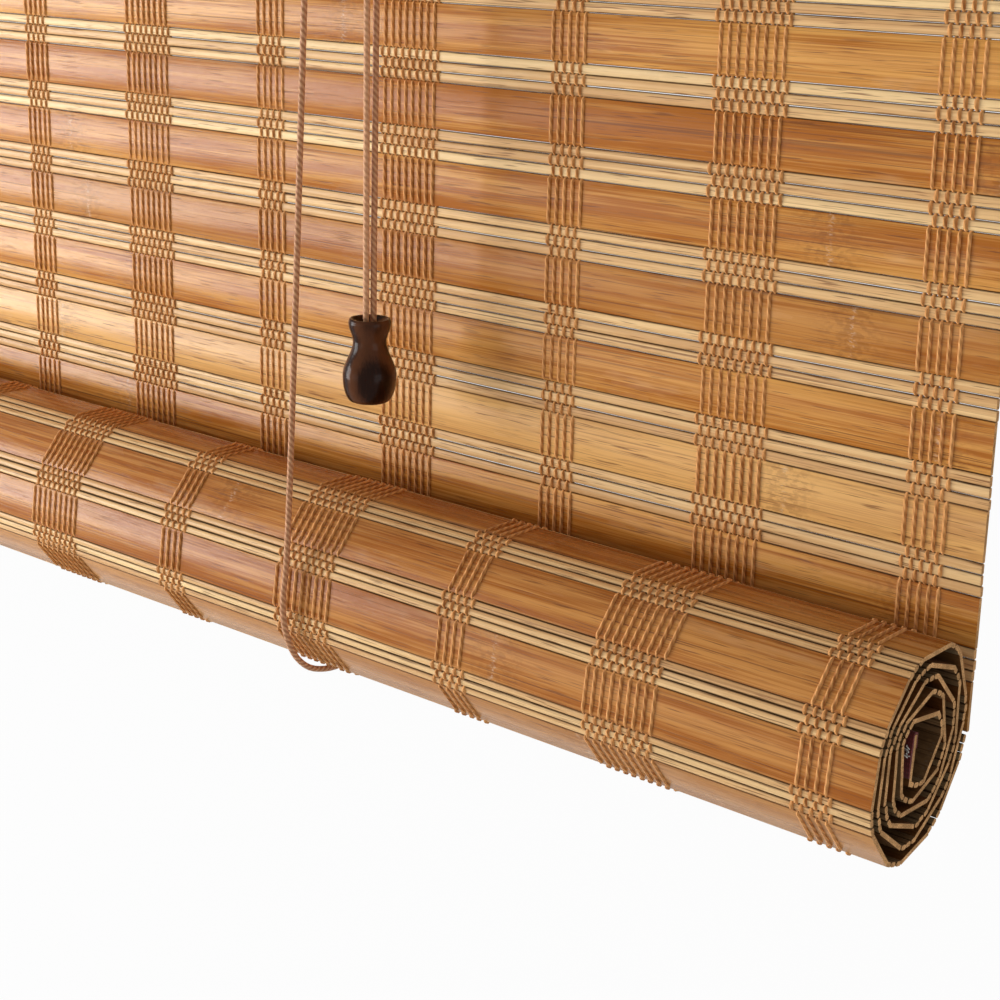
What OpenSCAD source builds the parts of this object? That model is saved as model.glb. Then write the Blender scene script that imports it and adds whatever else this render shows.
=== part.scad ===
// Bamboo roll-up blind: a woven mat of slats and reeds on a timber headrail, rolled up from below
// towards the front, with two lift cords, three pulley wheels and a turned tassel.
// Millimetres, +Z up, +X along the slats, the room side towards -Y. The wall is the plane Y = 0,
// and the origin lies midway between the two wall-screw holes.

/* [Mat] */
// Width of the mat along the slats
mat_w = 804; // [660:2:1200]
// Height of one slat
slat_h = 14.4; // [10:0.2:18]
// Thickness of the slats and reeds
slat_t = 1.3; // [1.2:0.1:1.6]
// Spacing of the reeds in the hanging mat
reed_p = 3.2; // [2.8:0.1:4]
// Courses of one slat and its reeds in the hanging mat
flat_courses = 25; // [10:1:28]
// Height of a slit that lets light through
slit_h = 0.5; // [0.3:0.1:0.8]
// Length of a slit
slit_l = 38; // [20:1:42]

/* [Thread bands] */
// Distance between two thread bands
band_p = 64; // [60:1:80]
// Distance between two threads of a band
thread_p = 3; // [1.6:0.1:3.2]
// Width of one thread
thread_w = 1.1; // [0.7:0.1:1.3]
// Height of a thread above the slats
thread_t = 0.95; // [0.6:0.05:1.2]

/* [Roll] */
// Courses wound up in the roll
roll_courses = 29; // [8:1:29]
// Spacing of the reeds where they are pressed together in the roll
roll_reed_p = 2.5; // [2.4:0.1:3]
// Half of the roll's long diameter, to the middle of the mat
roll_a = 31.4; // [29:0.2:34]
// Half of the roll's short diameter, to the middle of the mat
roll_b = 23; // [21:0.2:25]
// Lean of the long diameter, lower end to the front
roll_lean = 24; // [10:1:30]
// Distance from one turn to the next
turn_p = 2.7; // [2.7:0.1:3]
// Height of the roll's centre above the end of the hanging mat
roll_rise = 2.6; // [1:0.2:5]
// Lean of the mat's last slat into the hollow of the roll
hem_lean = 14; // [8:1:18]
// Thickness of the cloth folded round the mat's lower edge
hem_t = 0.6; // [0.3:0.1:0.8]

/* [Headrail] */
// Thickness of the rear board
board_t = 20; // [16:1:30]
// Height of the rear board
board_h = 50; // [46:1:70]
// Height of the board above the wall-screw holes
board_rise = 14; // [10:1:25]
// Thickness of the front batten
batten_t = 16; // [14:1:24]
// Height of the front batten
batten_h = 26; // [24:1:32]
// Drop from the wall-screw holes to the top of the mat
mat_drop = 8; // [7:0.5:12]
// Distance between the wall-screw holes
hole_gap = 600; // [420:10:640]
// Diameter of a wall-screw hole
hole_d = 5; // [4:0.5:6]
// Diameter of the screws that clamp the mat
clamp_screw_d = 4; // [3:0.5:5]

/* [Pulleys] */
// Outer diameter of a wheel
wheel_d = 16; // [14:0.5:17]
// Width of a wheel
wheel_w = 6; // [5:0.2:8]
// Diameter of the cord's centre line on a wheel
wrap_d = 12; // [10:0.5:12]
// Diameter of an axle
axle_d = 3; // [2:0.5:4]
// Thickness of the bracket's sheet metal
plate_t = 1.2; // [0.8:0.1:1.6]
// Width of the bracket's back plate
plate_w = 40; // [36:1:46]
// Diameter of a bracket screw
plate_screw_d = 3; // [2.5:0.5:4]

/* [Cords and tassel] */
// Diameter of a cord
cord_d = 2; // [1.4:0.1:2.2]
// Distance of a lift cord from the middle of the blind
cord_x = 188; // [180:1:196]
// Height of the tassel
tassel_h = 26.6; // [24:0.1:36]
// Diameter of the tassel's bulb
tassel_d = 17; // [15:0.5:22]
// Diameter of the tassel's rim
tassel_rim_d = 13.4; // [12:0.2:15]
// Diameter of the tassel's neck
tassel_neck_d = 10.6; // [8:0.2:11]
// Diameter of the tassel's bore
tassel_bore_d = 5.2; // [4.8:0.1:6]

/* [Hidden] */
$fn = 48;
eps = 0.01;

// Clearances: screws and axles in their holes, a wheel on its axle, a wheel beside a cheek
seat_gap = 0.02;
run_gap = 0.05;
side_gap = 0.4;

// The mat's section
reeds = 3;
course = slat_h + reeds * reed_p;
half_t = slat_t / 2;
touch_t = 0.3;
edge = 0.2;
reed_flat = 0.45;
mat_y = -(board_t + half_t + thread_t);
mat_top = -mat_drop;
panel_h = flat_courses * course + slat_h;
panel_end = mat_top - panel_h;

// Thread bands: narrow and wide ones take turns, and a narrow one lies at either edge
edge_margin = 18;
bands = 2 * floor((mat_w - 2 * edge_margin) / band_p / 2) + 1;
front_threads = [5, 8];
back_threads = [4, 9];
thread_crest = 0.6;
function band_x(i) = (i - (bands - 1) / 2) * band_p;

// The clamp screws pass between the bands: one in each outermost window and two a third further in
windows = bands - 1;
clamp_window = floor(windows / 3);
clamp_x = [
    for (w = [0, clamp_window, windows - clamp_window - 1, windows - 1])
        band_x(w) + band_p / 2
];
clamp_z = mat_top - slat_h / 2;
clamp_depth = 12;
clamp_clear = 0.4;

// The roll's path: an oval spiral that starts where the hanging mat ends and grows rounder inwards
meet_gap = 0.3;
long_shrink = 1.6;
roll_reach = norm([roll_a * sin(roll_lean), roll_b * cos(roll_lean)]);
roll_drop = norm([roll_a * cos(roll_lean), roll_b * sin(roll_lean)]);
roll_y = mat_y - roll_reach;
roll_z = panel_end - meet_gap + roll_rise;
start_turn = atan2(roll_b * sin(roll_lean), roll_a * cos(roll_lean)) + acos(roll_rise / roll_drop);
pieces = roll_courses * (reeds + 1);
last = pieces - 1;
lap = 0.1;
hem_margin = 2.4;
hem_inner = 4;
thread_lift = 0.12;
roll_thread_courses = 6;
function piece_len(i) = i % (reeds + 1) == reeds ? slat_h : roll_reed_p;
function turns(t) = (start_turn - t) / 360;
function shrink(t) = turn_p * (floor(turns(t)) + pow(turns(t) - floor(turns(t)), 2));
function roll_point(t) =
    let (a = roll_a - long_shrink * shrink(t), b = roll_b - shrink(t))
    [
        roll_y - a * sin(roll_lean) * cos(t) + b * cos(roll_lean) * sin(t),
        roll_z - a * cos(roll_lean) * cos(t) - b * sin(roll_lean) * sin(t)
    ];
function roll_speed(t) = norm(roll_point(t + 0.5) - roll_point(t - 0.5));
function next_angle(t, len) =
    let (guess = t - len / roll_speed(t - 1) / 2)
    t - len / roll_speed(guess);
angles = [for (i = 0, t = start_turn; i <= pieces; t = next_angle(t, piece_len(i)), i = i + 1) t];

// One piece of the roll as a chord of the spiral
function outward(d) = [-d[1], d[0]];
function chord(i) = roll_point(angles[i + 1]) - roll_point(angles[i]);
function chord_dir(i) = chord(i) / norm(chord(i));

// One piece of the roll in place: its middle, its direction and its outward side. The last slat leans in.
function piece_dir(i) =
    i == last ? cos(hem_lean) * chord_dir(i) - sin(hem_lean) * outward(chord_dir(i)) : chord_dir(i);
function piece_mid(i) = roll_point(angles[i]) + norm(chord(i)) / 2 * piece_dir(i);
function piece_out(i) = outward(piece_dir(i));
function piece_point(i, along, out) = piece_mid(i) + along * piece_dir(i) + out * piece_out(i);

// Headrail: the batten clamps the mat against the board
batten_back = mat_y - half_t - thread_t;
batten_front = batten_back - batten_t;
sink_d = 2 * hole_d;
anchor_y = -board_t / 2;
anchor_clear = 0.3;

// Pulleys: wheels behind each other on an axle that runs from front to back
spacer_t = 1.2;
spacer_gap = 0.2;
wheel_step = wheel_w + spacer_t + 2 * spacer_gap;
plate_front = batten_front - plate_t;
wheel_y = plate_front - side_gap - wheel_w / 2;
wheel_z = mat_top - batten_h / 2;
plate_margin = 2;
ear_margin = 5;
plate_h = batten_h - 2 * plate_margin;
cheek_w = 18;
ear_x = plate_w / 2 - ear_margin;
screw_head_h = 1.6;
screw_depth = 11;
axle_head_h = 0.8;
groove_mouth = 2.3;
groove_floor = 1.1;
cord_gap = 0.4;
left_x = -cord_x + wrap_d / 2;
right_x = cord_x + wrap_d / 2;
function cheek_front(wheels) = wheel_y - (wheels - 1) * wheel_step - wheel_w / 2 - side_gap - plate_t;

// Tassel: it hangs from the two pull cords, with their knot in a recess below
tassel_top = -535.3;
tassel_x = right_x + wrap_d / 2;
tassel_y = wheel_y - wheel_step / 2;
dish_depth = 2;
dish_wall = 1.2;
recess_h = 5;
knot_h = 4.6;
knot_d = 7.6;
anchor_knot_d = 5.6;
anchor_knot_h = 5;
pull_gap = 2.2;
knot_top = tassel_top - tassel_h + recess_h;

// Cord routes, along the centre line
back_run = [[-10, 14], [-10, -36], [-18, -600]];
round_roll = [
    [-18, -616], [-20, -626], [-23.5, -634], [-28, -641], [-34, -647], [-41, -651.5], [-48.5, -653.5],
    [-56, -653], [-63, -650.5], [-68.5, -645.5], [-72, -639], [-74, -631], [-74, -623], [-72.5, -612]
];
tassel_entry = -530;
wrap_step = 22.5;
function at_x(x, points) = [for (p = points) [x, p[0], p[1]]];
function wheel_wrap(x, y, from, to) = [
    for (w = [from:-wrap_step:to]) [x + wrap_d / 2 * cos(w), y, wheel_z + wrap_d / 2 * sin(w)]
];
function pull_run(side) = [
    [tassel_x, tassel_y + side * pull_gap / 2, tassel_entry],
    [tassel_x, tassel_y + side * pull_gap / 2, knot_top]
];
left_route = concat(
    at_x(-cord_x, concat(back_run, round_roll)),
    wheel_wrap(left_x, wheel_y, 180, 90),
    wheel_wrap(right_x, wheel_y - wheel_step, 90, 0),
    pull_run(-1)
);
right_route = concat(
    at_x(cord_x, concat(back_run, round_roll)),
    wheel_wrap(right_x, wheel_y, 180, 0),
    pull_run(1)
);

// A round cord swept along a route, with its rings carried from point to point without twist
cord_sides = 8;
function unit(v) = v / norm(v);
function along(path, i) =
    unit(path[min(i + 1, len(path) - 1)] - path[max(i - 1, 0)]);
function carry(side, dir) = unit(side - (side * dir) * dir);
function sides_of(path) = [
    for (i = 0, s = carry([1, 0, 0], along(path, 0)); i < len(path);
        i = i + 1, s = i < len(path) ? carry(s, along(path, i)) : s) s
];
function cord_points(path, r) =
    let (s = sides_of(path))
    [
        for (i = [0:len(path) - 1], k = [0:cord_sides - 1])
            let (w = 360 / cord_sides * k)
            path[i] + r * (cos(w) * s[i] + sin(w) * cross(along(path, i), s[i]))
    ];
function ring_face(i, flip) = [for (k = [0:cord_sides - 1]) i * cord_sides + (flip ? cord_sides - 1 - k : k)];
function cord_faces(n) = concat(
    [ring_face(0, false)],
    [
        for (i = [0:n - 2], k = [0:cord_sides - 1], half = [0, 1])
            let (a = i * cord_sides + k, b = i * cord_sides + (k + 1) % cord_sides)
            half == 0 ? [a, a + cord_sides, b] : [b, a + cord_sides, b + cord_sides]
    ],
    [ring_face(n - 1, true)]
);

module cord(path) {
    polyhedron(cord_points(path, cord_d / 2), cord_faces(len(path)));
}

// An outline drawn in Y and Z, drawn out along the slats
module along_slats(width) {
    rotate([90, 0, 90])
        linear_extrude(width, center = true)
            children();
}

// A cylinder from front to back, starting at the depth y
module through_y(x, y, z, d, h) {
    translate([x, y, z])
        rotate([90, 0, 0])
            cylinder(d = d, h = h);
}

// Headrail

module rear_board() {
    color("burlywood")
        difference() {
            translate([-mat_w / 2, -board_t, board_rise - board_h])
                cube([mat_w, board_t, board_h]);
            for (side = [-1, 1]) {
                through_y(side * hole_gap / 2, eps, 0, hole_d, board_t + 2 * eps);
                translate([side * hole_gap / 2, -board_t + (sink_d - hole_d) / 2, 0])
                    rotate([90, 0, 0])
                        cylinder(d1 = hole_d, d2 = sink_d, h = (sink_d - hole_d) / 2 + eps);
                translate([side * cord_x, anchor_y, board_rise - board_h - 1])
                    cylinder(d = cord_d + 2 * anchor_clear, h = board_h + 2);
            }
            for (x = clamp_x)
                through_y(x, -board_t + clamp_depth, clamp_z, clamp_screw_d + 2 * seat_gap, clamp_depth + eps);
        }
}

module front_batten() {
    color("peru")
        difference() {
            translate([-mat_w / 2, batten_front, mat_top - batten_h])
                cube([mat_w, batten_t, batten_h]);
            for (x = clamp_x) {
                through_y(x, batten_back + eps, clamp_z, clamp_screw_d + 2 * seat_gap, batten_t + 2 * eps);
                translate([x, batten_front + clamp_screw_d / 2, clamp_z])
                    rotate([90, 0, 0])
                        cylinder(
                            d1 = clamp_screw_d + 2 * seat_gap,
                            d2 = 2 * clamp_screw_d + 2 * seat_gap,
                            h = clamp_screw_d / 2 + eps
                        );
            }
            for (x = [left_x, right_x], side = [-1, 1])
                through_y(
                    x + side * ear_x, batten_front + screw_depth, wheel_z,
                    plate_screw_d + 2 * seat_gap, screw_depth + eps
                );
        }
}

module clamp_screws() {
    color("gainsboro")
        for (x = clamp_x)
            union() {
                through_y(
                    x, -board_t + clamp_depth - 0.5, clamp_z,
                    clamp_screw_d, -board_t + clamp_depth - 0.5 - batten_front
                );
                translate([x, batten_front + clamp_screw_d / 2, clamp_z])
                    rotate([90, 0, 0])
                        cylinder(d1 = clamp_screw_d, d2 = 2 * clamp_screw_d, h = clamp_screw_d / 2);
            }
}

// Mat

// One face of the hanging mat's outline from top to bottom: slats, reeds and the lines where they touch
function panel_chain(side) = [
    for (k = [0:flat_courses])
        let (z0 = mat_top - k * course)
        each concat(
            [[mat_y + side * half_t, z0 - edge], [mat_y + side * half_t, z0 - slat_h + edge]],
            k == flat_courses ? [[mat_y + side * touch_t, z0 - slat_h]] : [
                for (j = [0:reeds - 1])
                    let (top = z0 - slat_h - j * reed_p, mid = top - reed_p / 2)
                    each [
                        [mat_y + side * touch_t, top],
                        [mat_y + side * half_t, mid + reed_flat],
                        [mat_y + side * half_t, mid - reed_flat]
                    ]
            ],
            k == flat_courses ? [] : [[mat_y + side * touch_t, z0 - course]]
        )
];
function reversed(list) = [for (i = [len(list) - 1:-1:0]) list[i]];

// The window between two bands in which a line of contact stands open
function slit_window(k, j) = (5 * k + 3 * j + floor(k / 3)) % windows;

module mat_panel() {
    color("peru")
        difference() {
            along_slats(mat_w)
                polygon(concat(panel_chain(-1), reversed(panel_chain(1))));
            for (k = [0:flat_courses - 1], j = [0:reeds])
                translate([
                    band_x(slit_window(k, j)) + band_p / 2,
                    mat_y,
                    mat_top - k * course - slat_h - j * reed_p
                ])
                    cube([slit_l, 2 * slat_t, slit_h], center = true);
            for (x = clamp_x)
                through_y(x, mat_y + slat_t, clamp_z, clamp_screw_d + clamp_clear, 2 * slat_t);
        }
}

// The threads of every band that lie on one face of the hanging mat
module panel_threads(side, counts) {
    for (b = [0:bands - 1])
        let (n = counts[b % 2])
            for (i = [0:n - 1])
                translate([band_x(b) + (i - (n - 1) / 2) * thread_p, mat_y + side * half_t, panel_end])
                    linear_extrude(panel_h)
                        polygon([
                            [-thread_w / 2, 0],
                            [thread_w / 2, 0],
                            [thread_crest * thread_w / 2, side * thread_t],
                            [-thread_crest * thread_w / 2, side * thread_t]
                        ]);
}

module panel_threads_front() {
    color("sienna")
        panel_threads(-1, front_threads);
}

module panel_threads_back() {
    color("sienna")
        panel_threads(1, back_threads);
}

// Roll

module roll_piece(i) {
    l = piece_len(i) / 2 + lap;
    flat = i % (reeds + 1) == reeds ? l - edge : reed_flat;
    polygon([
        piece_point(i, -l, -touch_t), piece_point(i, -flat, -half_t),
        piece_point(i, flat, -half_t), piece_point(i, l, -touch_t),
        piece_point(i, l, touch_t), piece_point(i, flat, half_t),
        piece_point(i, -flat, half_t), piece_point(i, -l, touch_t)
    ]);
}

module mat_roll() {
    color("chocolate")
        along_slats(mat_w)
            for (i = [0:pieces - 1])
                roll_piece(i);
}

// The outside of the outer turn at one height above the mat's middle: a reed, then a slat's two ends
function roll_chain(out) = [
    for (c = [0:roll_thread_courses - 1])
        let (reed = c * (reeds + 1) + 1, slat = c * (reeds + 1) + reeds)
        each [
            piece_point(reed, 0, out),
            piece_point(slat, -slat_h / 2, out),
            piece_point(slat, slat_h / 2, out)
        ]
];

module roll_threads() {
    inner = half_t + thread_lift;
    color("sienna")
        for (b = [0:bands - 1])
            translate([band_x(b), 0, 0])
                along_slats((back_threads[b % 2] - 1) * thread_p + thread_w)
                    polygon(concat(roll_chain(inner), reversed(roll_chain(inner + thread_t))));
}

module hem_binding() {
    end = slat_h / 2 + lap;
    face = half_t + hem_t;
    color("darkred")
        along_slats(mat_w)
            polygon([
                piece_point(last, hem_margin - slat_h / 2, half_t), piece_point(last, end, half_t),
                piece_point(last, end, -half_t), piece_point(last, end - hem_inner, -half_t),
                piece_point(last, end - hem_inner, -face), piece_point(last, end + hem_t, -face),
                piece_point(last, end + hem_t, face), piece_point(last, hem_margin - slat_h / 2, face)
            ]);
}

// Pulleys

// A folded sheet: back plate with two ears, a bridge over the wheels and a front cheek
module pulley_bracket(x, wheels) {
    front = cheek_front(wheels);
    color("lightgray")
        difference() {
            translate([x, 0, wheel_z])
                union() {
                    translate([-plate_w / 2, plate_front, -plate_h / 2])
                        cube([plate_w, plate_t, plate_h]);
                    translate([-cheek_w / 2, front, plate_h / 2 - plate_t])
                        cube([cheek_w, plate_front - front + eps, plate_t]);
                    translate([-cheek_w / 2, front, -axle_d])
                        cube([cheek_w, plate_t, plate_h / 2 + axle_d]);
                    translate([0, front + plate_t, -axle_d])
                        rotate([90, 0, 0])
                            cylinder(d = cheek_w, h = plate_t);
                }
            through_y(x, batten_front + eps, wheel_z, axle_d + 2 * seat_gap, batten_front - front + 2 * eps);
            for (side = [-1, 1])
                through_y(
                    x + side * ear_x, batten_front + eps, wheel_z,
                    plate_screw_d + 2 * seat_gap, plate_t + 2 * eps
                );
        }
}

module pulley_bracket_left() {
    pulley_bracket(left_x, 1);
}

module pulley_bracket_right() {
    pulley_bracket(right_x, 2);
}

// A rivet with its head on the front cheek
module pulley_axle(x, wheels) {
    front = cheek_front(wheels);
    color("silver")
        union() {
            through_y(x, batten_front - eps, wheel_z, axle_d, batten_front - front);
            through_y(x, front, wheel_z, 1.7 * axle_d, axle_head_h);
        }
}

module pulley_axle_left() {
    pulley_axle(left_x, 1);
}

module pulley_axle_right() {
    pulley_axle(right_x, 2);
}

module pulley_wheel(x, y) {
    half_w = wheel_w / 2;
    floor_r = wrap_d / 2 - cord_d / 2 - cord_gap;
    color("goldenrod")
        translate([x, y, wheel_z])
            rotate([90, 0, 0])
                rotate_extrude()
                    polygon([
                        [axle_d / 2 + run_gap, -half_w], [wheel_d / 2, -half_w],
                        [wheel_d / 2, -groove_mouth], [floor_r, -groove_floor],
                        [floor_r, groove_floor], [wheel_d / 2, groove_mouth],
                        [wheel_d / 2, half_w], [axle_d / 2 + run_gap, half_w]
                    ]);
}

module pulley_wheel_left() {
    pulley_wheel(left_x, wheel_y);
}

module pulley_wheel_right_rear() {
    pulley_wheel(right_x, wheel_y);
}

module pulley_wheel_right_front() {
    pulley_wheel(right_x, wheel_y - wheel_step);
}

module pulley_spacer() {
    color("silver")
        difference() {
            through_y(right_x, wheel_y - wheel_w / 2 - spacer_gap, wheel_z, 2 * axle_d, spacer_t);
            through_y(right_x, wheel_y, wheel_z, axle_d + 2 * seat_gap, wheel_step);
        }
}

module bracket_screws(x) {
    color("gainsboro")
        for (side = [-1, 1])
            union() {
                through_y(
                    x + side * ear_x, batten_front + screw_depth - 0.5, wheel_z,
                    plate_screw_d, screw_depth - 0.5 + plate_t
                );
                through_y(x + side * ear_x, plate_front, wheel_z, 2 * plate_screw_d, screw_head_h);
            }
}

module bracket_screws_left() {
    bracket_screws(left_x);
}

module bracket_screws_right() {
    bracket_screws(right_x);
}

// Cords and tassel

module lift_cord_left() {
    color("saddlebrown")
        cord(left_route);
}

module lift_cord_right() {
    color("saddlebrown")
        cord(right_route);
}

// A stopper knot: a barrel with round shoulders
module knot(d, h) {
    rotate_extrude()
        polygon(concat(
            [[0, 0]],
            [for (w = [0:15:180]) [d / 2 * (0.7 + 0.3 * sin(w)), h / 2 * (1 - cos(w))]],
            [[0, h]]
        ));
}

module anchor_knot_left() {
    color("saddlebrown")
        translate([-cord_x, anchor_y, board_rise])
            knot(anchor_knot_d, anchor_knot_h);
}

module anchor_knot_right() {
    color("saddlebrown")
        translate([cord_x, anchor_y, board_rise])
            knot(anchor_knot_d, anchor_knot_h);
}

// The tassel's radius, going down from its rim through the neck to the bulb, by parts of its height
rim_end = 0.05;
neck_at = 0.27;
bulb_at = 0.68;
foot_d = 10.4;
function ease(a, b, t) = a + (b - a) * (1 - cos(180 * t)) / 2;
function tassel_r(t) =
    t < rim_end ? tassel_rim_d / 2 - 0.4 * pow(1 - t / rim_end, 2) :
    t < neck_at ? ease(tassel_rim_d, tassel_neck_d, (t - rim_end) / (neck_at - rim_end)) / 2 :
    t < bulb_at ? ease(tassel_neck_d, tassel_d, (t - neck_at) / (bulb_at - neck_at)) / 2 :
    (foot_d + (tassel_d - foot_d) * sqrt(max(0, 1 - pow((t - bulb_at) / (1 - bulb_at), 2)))) / 2;

module tassel() {
    steps = 30;
    bore_r = tassel_bore_d / 2;
    dish_r = tassel_rim_d / 2 - dish_wall;
    recess_r = knot_d / 2 + 0.4;
    color("#3a2118")
        translate([tassel_x, tassel_y, tassel_top])
            rotate_extrude()
                polygon(concat(
                    [[bore_r, -dish_depth], [dish_r, -dish_depth / 4], [dish_r, 0]],
                    [for (i = [0:steps]) [tassel_r(i / steps), -tassel_h * i / steps]],
                    [[recess_r, -tassel_h], [recess_r, -tassel_h + recess_h], [bore_r, -tassel_h + recess_h]]
                ));
}

module tassel_knot() {
    color("saddlebrown")
        translate([tassel_x, tassel_y, knot_top - knot_h])
            knot(knot_d, knot_h);
}

rear_board();
front_batten();
clamp_screws();
mat_panel();
panel_threads_front();
panel_threads_back();
mat_roll();
roll_threads();
hem_binding();
pulley_bracket_left();
pulley_bracket_right();
pulley_axle_left();
pulley_axle_right();
pulley_wheel_left();
pulley_wheel_right_rear();
pulley_wheel_right_front();
pulley_spacer();
bracket_screws_left();
bracket_screws_right();
lift_cord_left();
lift_cord_right();
anchor_knot_left();
anchor_knot_right();
tassel();
tassel_knot();
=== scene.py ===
"""Visual model of a bamboo roll-up blind: a woven mat of slats and reeds on a timber headrail,
rolled up from below on two cords, with pulleys and a turned pull tassel.

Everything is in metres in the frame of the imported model. Lengths that repeat the part's own source
are written in millimetres and turned into metres where a mesh is made.
"""

import math
import random

import bpy
import numpy as np
from bpy.props import FloatProperty, FloatVectorProperty, IntProperty, PointerProperty
from mathutils import Matrix, Vector


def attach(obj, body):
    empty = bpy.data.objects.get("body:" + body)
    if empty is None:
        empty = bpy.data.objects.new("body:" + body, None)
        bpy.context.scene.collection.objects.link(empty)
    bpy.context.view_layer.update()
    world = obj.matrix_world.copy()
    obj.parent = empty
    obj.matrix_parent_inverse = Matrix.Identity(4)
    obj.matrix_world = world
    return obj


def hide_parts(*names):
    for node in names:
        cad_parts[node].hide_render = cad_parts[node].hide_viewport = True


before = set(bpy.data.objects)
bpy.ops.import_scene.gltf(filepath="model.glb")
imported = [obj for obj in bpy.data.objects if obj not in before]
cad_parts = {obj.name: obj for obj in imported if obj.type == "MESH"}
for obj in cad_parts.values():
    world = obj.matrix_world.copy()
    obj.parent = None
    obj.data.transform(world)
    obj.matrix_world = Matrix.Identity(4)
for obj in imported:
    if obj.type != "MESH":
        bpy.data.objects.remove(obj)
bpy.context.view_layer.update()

bl_info = {
    "name": "Bamboo roll-up blind",
    "version": (1, 0, 0),
    "blender": (4, 5, 0),
    "location": "View3D > Sidebar > Blind",
    "description": "Builds the visual model of a bamboo roll-up blind around its packed frame",
    "category": "Object",
}

MM = 0.001
BODY = "blind"
PLAIN_TINT = (0.5, 0.5, 0.5, 1.0)
SMOOTH_LIMIT = math.radians(32)
BEVEL_LIMIT = math.radians(50)

# What is added to the seed for each group of pieces
HANGING_SEED = 2
ROLL_SEED = 3677
THREAD_SEED = 4
HEM_SEED = 5

# Bamboo: least roughness, how strongly joints show, distance of joints in metres, and tones
SLAT_LOOK = (0.27, 0.8)
REED_LOOK = (0.36, 0.12)
JOINT_P = 0.33
# share of colour left where shade is painted on the roll's inner faces and inner turns
INNER_SHADE = 0.25
WHITE = (1.0, 1.0, 1.0, 1.0)
BLOOM = (0.8, 0.68, 0.52, 1.0)
# pale tone of the pale patches: partly worn bamboo, partly a painted sheen
WASHED_AND_SHEEN = (0.9, 0.78, 0.6, 1.0)
CREAM = (0.5, 0.42, 0.24)
# darker, redder tone of the rolled slats: painted shade on the roll
ROLL_SHADE_TONE = (0.88, 0.83, 0.90)

# The mat, in millimetres, as in the part's source
MAT_W = 804.0
MAT_Y = -21.6
MAT_TOP = -8.0
SLAT_P = 14.4
REED_P = 3.2
REEDS = 3
COURSE = SLAT_P + REEDS * REED_P
FLAT_COURSES = 25
PANEL_END = MAT_TOP - FLAT_COURSES * COURSE - SLAT_P
BANDS = 13
BAND_P = 64.0
BAND_THREADS = ((5, 4), (8, 9))
THREAD_SIDES = 5
THREAD_DRIFT = 0.16
DRIFT_STEPS = 40
SLAT_LIFT = 0.2
REED_LIFT = 0.3
SLAT_DIP = 0.9

# Laths: stations and unevenness in millimetres. A form is bevel, flank height, painted flank shade and share
# of stray
LATH_STATIONS = 29
END_STRAY = 0.18
STRAY_WAVE = 420.0
RISE_WAVE = 500.0
HANGING_RISE = 0.12
ROLL_STRAY = 0.08
ROLL_RISE_WAVER = 0.06
SLAT_FORM = (0.25, 0.6, 0.35, 0.4)
REED_FORM = (0.42, 0.12, 0.03, 1.0)

# The roll, in millimetres and degrees, as in the part's source
ROLL_COURSES = 29
ROLL_REED_P = 2.5
ROLL_A = 31.4
ROLL_B = 23.0
ROLL_LEAN = 24.0
TURN_P = 2.7
LONG_SHRINK = 1.6
ROLL_RISE = 2.6
MEET_GAP = 0.3
ROLL_THREAD_COURSES = 7
HEM_LEAN = 14.0

# The hem's cloth and the thread ends in it, in millimetres
HEM_STATIONS = 161
HEM_POINTS = 14
HEM_UV_STEP = 0.0022
HEM_SLACK = 0.15
HEM_HALF = 0.65
CLOTH_THICK = 0.55
SHORT_LAP = 4.0
LONG_LAP = 12.0
BAND_SPREAD = 6.0
EDGE_SPREAD = 2.2
EDGE_INSET = 2.6
TUFT_ENDS = 6
TUFT_START = (-11.0, -1.0)
TUFT_REACH = (0.5, 2.0)
TUFT_POINTS = 7
LINT_STEP = 0.5
LINT_R = 0.16
LINT_SIDES = 5
WHITE_LINT = (0.8, 0.76, 0.7)
STRAW_LINT = (0.7, 0.42, 0.08)

# The cords, wheels, tassel and knots, in millimetres, mostly as in the part's source
CORD_X = 188.0
WHEEL_Y = -43.8
WHEEL_STEP = 7.6
WHEEL_Z = -21.0
WRAP_R = 6.0
WRAP_STEP = 22.5
LEFT_X = -182.0
RIGHT_X = 194.0
TASSEL = (200.0, -47.6, -535.3)
TASSEL_H = 26.6
TASSEL_BORE_R = 2.6
TASSEL_RECESS_R = 4.2
TASSEL_RECESS_H = 5.0
TASSEL_DISH = (
    (TASSEL_BORE_R, -2.2), (TASSEL_BORE_R + 0.25, -1.95), (4.2, -1.1), (5.3, -0.45), (5.75, 0.0),
)
TASSEL_STEPS = 56
TASSEL_TURNS = 72
PULL_GAP = 2.2
PULL_SPREAD = 1.1
TASSEL_ENTRY = -530.0
KNOT_TOP = -556.9
PULL_KNOT_DROP = 2.3
PULL_KNOT = (2.7, 1.2)
TOP_KNOT_RISE = 2.5
TOP_KNOT = (1.8, 1.4)
KNOT_STEPS = 120
KNOT_SIDES = 10
CORD_SIDES = 12
CORD_STEP = 2.4
LEFT_CORD_TONE = 0.9
RIGHT_CORD_TONE = 0.1
ANCHOR = (-10.0, 14.0)
BACK_RUN = ((-10, 14), (-10, -36), (-18, -600))
ROUND_ROLL = (
    (-18, -616), (-20, -626), (-23.5, -634), (-28, -641), (-34, -647), (-41, -651.5), (-48.5, -653.5),
    (-56, -653), (-63, -650.5), (-68.5, -645.5), (-72, -639), (-74, -631), (-74, -623), (-72.5, -612),
)

# The camera of the photograph, worked out from the grid of slats and bands
EYE = (0.6371, -0.4894, -0.4097)
LOOK = (-0.626913, 0.725499, -0.283957)
EYE_UP = (-0.203249, 0.199553, 0.958576)
LENS = 72.83
SENSOR = 36.0

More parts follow.
